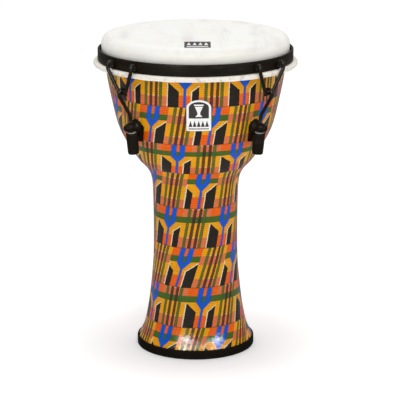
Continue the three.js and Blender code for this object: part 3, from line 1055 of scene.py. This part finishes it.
@dataclass
class Head:
    """The skin, stretched over the playing edge and wrapped round the flesh hoop, and the steel hoop."""

    finishes: Finishes
    height: float = 406
    skin: float = 1.1
    radius: float = 118
    shoulder: float = 11
    wrap_r: float = 128.2
    wrap_low: float = 367
    wrap_top: float = 373.5
    hoop_r: float = 122.9
    hoop_t: float = 3
    hoop_low: float = 373.8
    hoop_h: float = 14.4
    columns: int = 288

    def build(self) -> None:
        """Makes the skin and the steel hoop."""
        self.cover()
        self.steel_hoop()

    def cover(self) -> None:
        """One skin from the middle of the head, over the edge, down and round the flesh hoop.

        The wrap's lower edge rises and falls a little, by an uneven wave round the drum.
        """
        r, z, turn_r = self.radius - self.shoulder, self.height - self.shoulder, self.shoulder
        flat = np.stack([np.linspace(0, r, 24)[:-1], np.full(23, self.height)], -1)
        over = arc(r, z, turn_r, 90, 0, 14)
        collar = np.stack([np.full(7, self.radius), np.linspace(z - 2, self.wrap_top + 3, 7)], -1)
        inner = self.radius - self.skin
        wrap = rounded([(self.radius, self.wrap_top + 2.4), (self.radius, self.wrap_top),
                        (self.wrap_r, self.wrap_top), (self.wrap_r, self.wrap_low),
                        (inner, self.wrap_low), (inner, self.wrap_top + 2)],
                       [0, 1.6, 2.6, 2.9, 2.2, 0], 7)
        back = arc(r, z, turn_r - self.skin, 0, 90, 10)
        under = np.array([(r / 2, self.height - self.skin), (0, self.height - self.skin)])
        skin = turn(np.concatenate([flat, over, collar, wrap, back, under]), self.columns)
        angle = np.linspace(-pi, pi, self.columns, endpoint=False)
        height = skin.points[..., 2]
        low = np.clip((self.wrap_top - 2 - height) / 3, 0, 1) * (height < self.wrap_top)
        skin.points[..., 2] += low * 0.45 * (1 + ripple(angle, 3, (5, 9, 14, 23, 31)))
        piece = make_piece(Label("drum_skin", Slot.SKIN, None, ("drumhead", "flesh_hoop")),
                           [skin], [self.finishes.skin])
        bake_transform(piece)

    def steel_hoop(self) -> None:
        """A flat bar bent into a ring, with rounded edges."""
        low, high = self.hoop_low, self.hoop_low + self.hoop_h
        inner = self.hoop_r - self.hoop_t
        profile = rounded([(inner, low), (self.hoop_r, low), (self.hoop_r, high), (inner, high)],
                          0.9, 5, True)
        make_piece(Label("steel_hoop", Slot.PAINT, Body.HOOP, ("tension_hoop",)),
                   [turn(profile, self.columns, ring=True)], [self.finishes.paint])


@dataclass
class Tuning:
    """One of the four tuning sets: V link, rod, lug, washer and nut.

    Shapes are made in the lug's own frame: x outwards along the radius, y sideways, z up.

    Attributes:
        number: which set, counted round the drum.
        wire: radius of the V link's wire and of the rod.
        hook_angle: from the lug's middle to each of the V link's hooks.
        leg_r, arm_r: distance from the drum's axis of a hook's inner and outer leg.
        leg_end, hook_top, arm_end: heights where the inner leg ends, the hook turns and the arm bends.
        v_bottom: the lower bend of the V link.
        post: where the rod's axis crosses the post's.
        tilt: lean of the thread outwards.
        pitch: rise of the thread in one turn.
        rod_end: where the thread ends, measured along it.
        bore: radius of the holes for the rod.
        plate_top, plate_foot: half width and height of the middle of the plate's two round ends.
    """

    finishes: Finishes
    shell: Shell
    number: int
    wire: float = 2.25
    hook_angle: float = radians(8.9)
    leg_r: float = 125.45
    arm_r: float = 132.4
    leg_end: float = 377.2
    hook_top: float = 384
    arm_end: float = 376
    v_bottom: tuple[float, float, float] = (126, 5.6, 347)
    post: tuple[float, float] = (111.3, 302.4)
    tilt: float = radians(6)
    pitch: float = 1.0
    rod_end: float = -27
    bore: float = 3.1
    plate_top: tuple[float, float] = (8.6, 302.5)
    plate_foot: tuple[float, float] = (5.4, 288.0)

    @property
    def axes(self) -> Array:
        """The lug's outward, sideways and upward directions."""
        angle = pi / 4 + (self.number - 1) * TAU / LUGS
        return np.array([(cos(angle), sin(angle), 0), (-sin(angle), cos(angle), 0), (0, 0, 1)])

    @property
    def thread(self) -> Axis:
        """The rod's threaded axis."""
        lean, rise = sin(self.tilt), cos(self.tilt)
        return Axis((self.post[0], 0, self.post[1]), (rise, 0, -lean), (0, 1, 0), (lean, 0, rise))

    def add(self, name: str, slot: Slot, body: str, nodes: Sequence[str], surfaces: Sequence[Surface],
            finish: bpy.types.Material, crease: float = 40) -> bpy.types.Object:
        """Makes one piece of this set, turned to its place round the drum."""
        label = Label(f"{name}_{self.number}", slot, body, tuple(nodes))
        return make_piece(label, [s.turned(self.axes) for s in surfaces], [finish], crease)

    def build(self) -> None:
        """Makes every piece of the set."""
        self.v_link()
        self.rod()
        self.lug()
        self.gasket()
        self.washer()
        self.nut()
        self.dress_hidden()

    def on_hoop(self, radius: float, z: float, side: float) -> tuple[float, float, float]:
        """A point by the hoop, `side` hook angles from the lug's middle."""
        angle = side * self.hook_angle
        return radius * cos(angle), radius * sin(angle), z

    def v_link(self) -> None:
        """Bent wire hooked over both welds: up from the hoop, out, and down to a narrow bottom."""
        def half(side: int) -> list[tuple[float, float, float]]:
            """One half of the wire's corners."""
            x, y, z = self.v_bottom
            hook = ((self.leg_r, self.leg_end), (self.leg_r, self.hook_top),
                    (self.arm_r, self.hook_top), (self.arm_r, self.arm_end))
            return [*(self.on_hoop(r, up, side) for r, up in hook), (x, side * y, z)]

        path = rounded(half(1) + half(-1)[::-1], [0, 4, 4, 2.5, 5.4, 5.4, 2.5, 4, 4, 0], 10)
        self.add("v_link_wire", Slot.PAINT, Body.HOOP, [f"v_link_{self.number}"],
                 [sweep(path, self.wire, (1, 1, 0))], self.finishes.wire)
        for side, end in ((-1, "a"), (1, "b")):
            self.add(f"weld_{end}", Slot.PAINT, Body.HOOP, [f"weld_bead_{self.number}{end}"],
                     [self.bead(side)], self.finishes.paint, 60)

    def bead(self, side: int) -> Surface:
        """A run of weld: an egg shape whose section swells and shrinks along its length.

        Along the run at w from -1 to 1 the section's radius is the root of 1 - w^2, times a ripple.
        """
        polar = np.linspace(0, pi, 15)
        angle = np.linspace(0, TAU, 20, endpoint=False)
        ripples = 1 - 0.07 * (1 + np.cos(polar * 9))[:, None]
        out = 1.45 * np.sin(polar)[:, None] * np.cos(angle) * ripples
        up = 1.4 * np.sin(polar)[:, None] * np.sin(angle) * ripples
        along = np.broadcast_to(2.95 * np.cos(polar)[:, None], out.shape)
        turned = side * self.hook_angle
        radial, sideways = (cos(turned), sin(turned), 0), (-sin(turned), cos(turned), 0)
        middle = np.array(self.on_hoop(124.8, 375.4, side))
        return Surface(middle + out[..., None] * radial + along[..., None] * sideways
                       + up[..., None] * (0, 0, 1))

    def rod(self) -> None:
        """Hook over the V link, a bend, then a straight threaded end.

        The thread's radius falls and rises with (distance along / pitch - angle round), so its
        ridges climb one pitch a turn.
        """
        x, _, z = self.v_bottom
        arm = 2 * self.wire + 0.8
        axis = self.thread
        start = np.array(axis.origin)
        plain = 11                                   # the thread begins here, along the axis
        hook = rounded([(x - arm, 0, z - 4), (x - arm, 0, z + arm), (x + arm, 0, z + arm),
                        (x + arm, 0, z - 2), (112.8, 0, 317),
                        tuple(start + np.array(axis.along) * plain)], [0, 5.4, 5.4, 3.5, 5, 0], 10)
        along = np.arange(plain, self.rod_end, -self.pitch / 6)[1:]
        path = np.concatenate([hook, start + along[:, None] * np.array(axis.along)])
        angle = np.arange(20) / 20
        wave = np.cos(TAU * (along[:, None] / self.pitch - angle))
        cut_in = (np.clip((plain - along) / 2, 0, 1)
                  * np.clip((along - self.rod_end) / 1.5, 0, 1))[:, None]
        thread = self.wire - 0.22 * cut_in * (1 - wave)
        radius = np.concatenate([np.full((len(hook), 20), self.wire), thread])
        self.add("hooked_rod", Slot.PAINT, f"rod_{self.number}", [f"tension_rod_{self.number}"],
                 [sweep(path, radius, (0, 1, 0))], self.finishes.wire, 60)

    def plate_width(self, margin: float) -> Callable[[Array], Array]:
        """Half width of the plate grown by a margin: round top, straight sides, smaller round foot."""
        (top, top_z), (foot, foot_z) = self.plate_top, self.plate_foot
        top, foot = top + margin, foot + margin

        def width(z: Array) -> Array:
            """Half width at height z."""
            side = np.interp(z, [foot_z, top_z], [foot, top])
            above = np.sqrt(np.clip(top ** 2 - (z - top_z).clip(0) ** 2, 0, None))
            below = np.sqrt(np.clip(foot ** 2 - (foot_z - z).clip(0) ** 2, 0, None))
            return np.where(z > top_z, above, np.where(z < foot_z, below, side))

        return width

    def plate_rows(self, margin: float) -> Array:
        """Heights of the plate's rows, closer together towards its round ends."""
        (top, top_z), (foot, foot_z) = self.plate_top, self.plate_foot
        quarter = np.linspace(0, pi / 2, 12)
        return np.concatenate([foot_z - (foot + margin) * np.cos(quarter),
                               np.linspace(foot_z + 1, top_z - 1, 9),
                               top_z + (top + margin) * np.sin(quarter)])

    def layer(self, margin: float, inner: float, thick: float, power: float) -> Surface:
        """A layer of the plate's outline, lying on the shell."""
        return self.shell.pad(self.plate_rows(margin), self.plate_width(margin), inner, thick,
                              (np.array([1, 0, 0]), np.array([0, 1, 0])), power=power)

    def lug(self) -> None:
        """The cast plate and its round post, bored for the rod and cut flat below for the washer."""
        plate = self.layer(0, 1.4, 2.0, 6)
        z = self.post[1]
        inner, flange, barrel, end = 103.5, 107, 116.4, 121.8
        outline = rounded([(8.2, inner), (8.2, flange), (6, flange + 1.5), (6, barrel), (4.2, barrel + 1.6),
                           (4, end), (0, end)], [0, 1.2, 1, 1.2, 1, 1.8, 0], 6)
        profile = np.concatenate([[(0, inner)], outline])
        post = turn(profile, 48, Axis((0, 0, z), (0, 0, 1), (0, 1, 0), (1, 0, 0)))
        axis = self.thread
        origin, along = np.array(axis.origin), np.array(axis.along)
        depth = (post.points - origin) @ along
        seat = -5.2                                  # the flat that the washer bears on
        flat = np.clip(seat - depth, 0, None) * (post.points[..., 0] > inner + 2)
        post.points += flat[..., None] * along
        casting = self.add("cast_lug", Slot.PAINT, Body.SHELL, [f"lug_casting_{self.number}"],
                           [plate, post], self.finishes.paint, 35)
        reach = 14.0
        drill = np.array([(0, -reach), (self.bore, -reach), (self.bore, reach), (0, reach)])
        cut(casting, turn(drill, 32, axis).turned(self.axes), 35)

    def gasket(self) -> None:
        """The thin rubber between lug and shell, a little wider than the plate."""
        self.add("lug_gasket_pad", Slot.GASKET, Body.SHELL, [f"lug_gasket_{self.number}"],
                 [self.layer(0.6, 0.3, 0.8, 5)], self.finishes.gasket)

    def washer(self) -> None:
        """A flat nylon ring under the post."""
        outer, low, high = 5.3, -7.0, -5.5
        profile = rounded([(self.bore, low), (outer, low), (outer, high), (self.bore, high)], 0.35, 4, True)
        self.add("white_washer", Slot.NYLON, f"nut_{self.number}", [f"nylon_washer_{self.number}"],
                 [turn(profile, 48, self.thread, True)], self.finishes.nylon)

    def nut(self) -> None:
        """A long tapered nut with a hexagonal socket in its lower end.

        The socket's radius is the flat's distance over the cosine of the angle from the flat's middle.
        """
        low, top, socket, depth, tapped = -33.6, -7.3, 3.75, 6.0, 2.9
        profile = rounded([
            (socket, low), (6.7, low), (7.0, -30), (7.0, -29.2), (7.65, top), (tapped, top),
            (tapped, low + depth + 1.5), (socket, low + depth)],
            [0.5, 1.2, 0.2, 0.2, 0.8, 0.4, 0.2, 0.1], 5, True)
        columns = 72
        angle = np.linspace(-pi, pi, columns, endpoint=False)
        hexagon = 1 / np.cos((angle % (TAU / 6)) - TAU / 12)
        in_socket = (profile[:, 0] < socket + 0.6) & (profile[:, 1] < low + depth + 0.2)
        swell = np.where(in_socket[:, None], hexagon, 1)
        self.add("long_nut", Slot.PAINT, f"nut_{self.number}", [f"tuning_nut_{self.number}"],
                 [turn(profile, columns, self.thread, True, swell=swell)], self.finishes.paint)

    def dress_hidden(self) -> None:
        """Gives the backing plate and the screws inside the shell their plating."""
        screw = f"lug_screw_{self.number}"
        for name in (f"backing_plate_{self.number}", f"{screw}_upper", f"{screw}_lower"):
            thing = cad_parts[name]
            thing.data.materials.clear()
            thing.data.materials.append(self.finishes.steel)


# ---------------------------------------------------------------------------
# Floor, light and camera
# ---------------------------------------------------------------------------

@dataclass(frozen=True)
class Lamp:
    """A square soft light aimed at the drum.

    Attributes:
        name: its name.
        place: where it stands, in metres.
        size: length of its side, in metres.
        power: watts.
        highlight_only: it shows in reflections but lights nothing.
    """

    name: str
    place: tuple[float, float, float]
    size: float
    power: float
    highlight_only: bool = False


@dataclass
class Studio:
    """A white floor, soft lights and the camera. Lengths are metres.

    Attributes:
        distance, height: the camera's place, in front of the drum and above the floor.
        pitch: how far the camera looks down.
        lens: focal length in millimetres.
        shift: sideways shift of the picture.
        surround: brightness of the surroundings.
        mirrored: their brightness in reflections.
        floor_glow: light that the floor gives off, which keeps shadows pale.
        floor_half: half the floor's width.
        aim: the height that the lamps point at.
        lamps: the lamps.
    """

    distance: float = 2.412
    height: float = 0.820
    pitch: float = radians(14.642)
    lens: float = 175.2
    shift: float = 0.0112
    surround: float = 0.36
    mirrored: float = 0.12
    floor_glow: float = 0.16
    floor_half: float = 8
    aim: float = 0.2
    lamps: tuple[Lamp, ...] = (
        Lamp("overhead", (0, 1.8, 4.2), 10, 225), Lamp("spot", (0, -0.1, 3.0), 0.6, 14),
        Lamp("front", (0.3, -2.6, 2.2), 1.2, 26),
        Lamp("front_left", (-0.78, -1.84, 0.96), 0.6, 38, True),
        Lamp("front_right", (1.47, -1.37, 0.94), 0.4, 26, True))

    def build(self) -> None:
        """Makes the floor, the lights and the camera."""
        self.floor()
        self.lights()
        self.camera()
        bpy.context.scene.view_settings.view_transform = "Standard"

    def floor(self) -> None:
        """A large pale floor, slightly uneven in tone."""
        mesh = bpy.data.meshes.new("floor")
        half = self.floor_half
        mesh.from_pydata([(-half, -half, 0), (half, -half, 0), (half, half, 0), (-half, half, 0)], [],
                         [(0, 1, 2, 3)])
        floor = bpy.data.objects.new("floor", mesh)
        bpy.context.scene.collection.objects.link(floor)
        bench = Bench("floor_paper", 0.9, Specular_IOR_Level=0.0, Emission_Strength=self.floor_glow)
        bench.shader.inputs["Emission Color"].default_value = (1, 1, 1, 1)
        mirrored = Field(bench, bench.node("ShaderNodeLightPath").outputs["Is Glossy Ray"])
        paper = bench.paint(linear(250, 250, 250), mirrored, linear(70, 67, 62))
        bench.colour(bench.shade(paper, 0.99 + bench.noise(300, 2) * 0.02))
        mesh.materials.append(bench.material)

    def lights(self) -> None:
        """White surroundings, dimmer in reflections, and the lamps."""
        world = bpy.data.worlds.new("studio")
        world.use_nodes = True
        nodes, links = world.node_tree.nodes, world.node_tree.links
        nodes["Background"].inputs["Color"].default_value = (1, 1, 1, 1)
        dim = nodes.new("ShaderNodeMapRange")
        links.new(nodes.new("ShaderNodeLightPath").outputs["Is Glossy Ray"], dim.inputs["Value"])
        dim.inputs["To Min"].default_value = self.surround
        dim.inputs["To Max"].default_value = self.mirrored
        links.new(dim.outputs["Result"], nodes["Background"].inputs["Strength"])
        bpy.context.scene.world = world
        for lamp in self.lamps:
            data = bpy.data.lights.new(lamp.name, "AREA")
            data.energy, data.size, data.shape = lamp.power, lamp.size, "SQUARE"
            thing = bpy.data.objects.new(lamp.name, data)
            thing.location = lamp.place
            thing.visible_diffuse = not lamp.highlight_only
            towards = Vector((0, 0, self.aim)) - Vector(lamp.place)
            thing.rotation_euler = towards.to_track_quat("-Z", "Y").to_euler()
            bpy.context.scene.collection.objects.link(thing)

    def camera(self) -> None:
        """The camera in front of the drum, looking slightly down."""
        data = bpy.data.cameras.new("camera")
        data.sensor_width, data.lens, data.shift_x = 36, self.lens, self.shift
        camera = bpy.data.objects.new("camera", data)
        camera.location = (0, -self.distance, self.height)
        camera.rotation_euler = (pi / 2 - self.pitch, 0, 0)
        bpy.context.scene.collection.objects.link(camera)
        bpy.context.scene.camera = camera


def main() -> None:
    """Builds the studio and the drum."""
    logging.basicConfig(level=logging.INFO, format="%(name)s: %(message)s")
    Studio().build()
    finishes = Finishes()
    shell = Shell(finishes)
    shell.build()
    Head(finishes).build()
    for number in range(1, LUGS + 1):
        Tuning(finishes, shell, number).build()


if __name__ == "__main__":
    main()
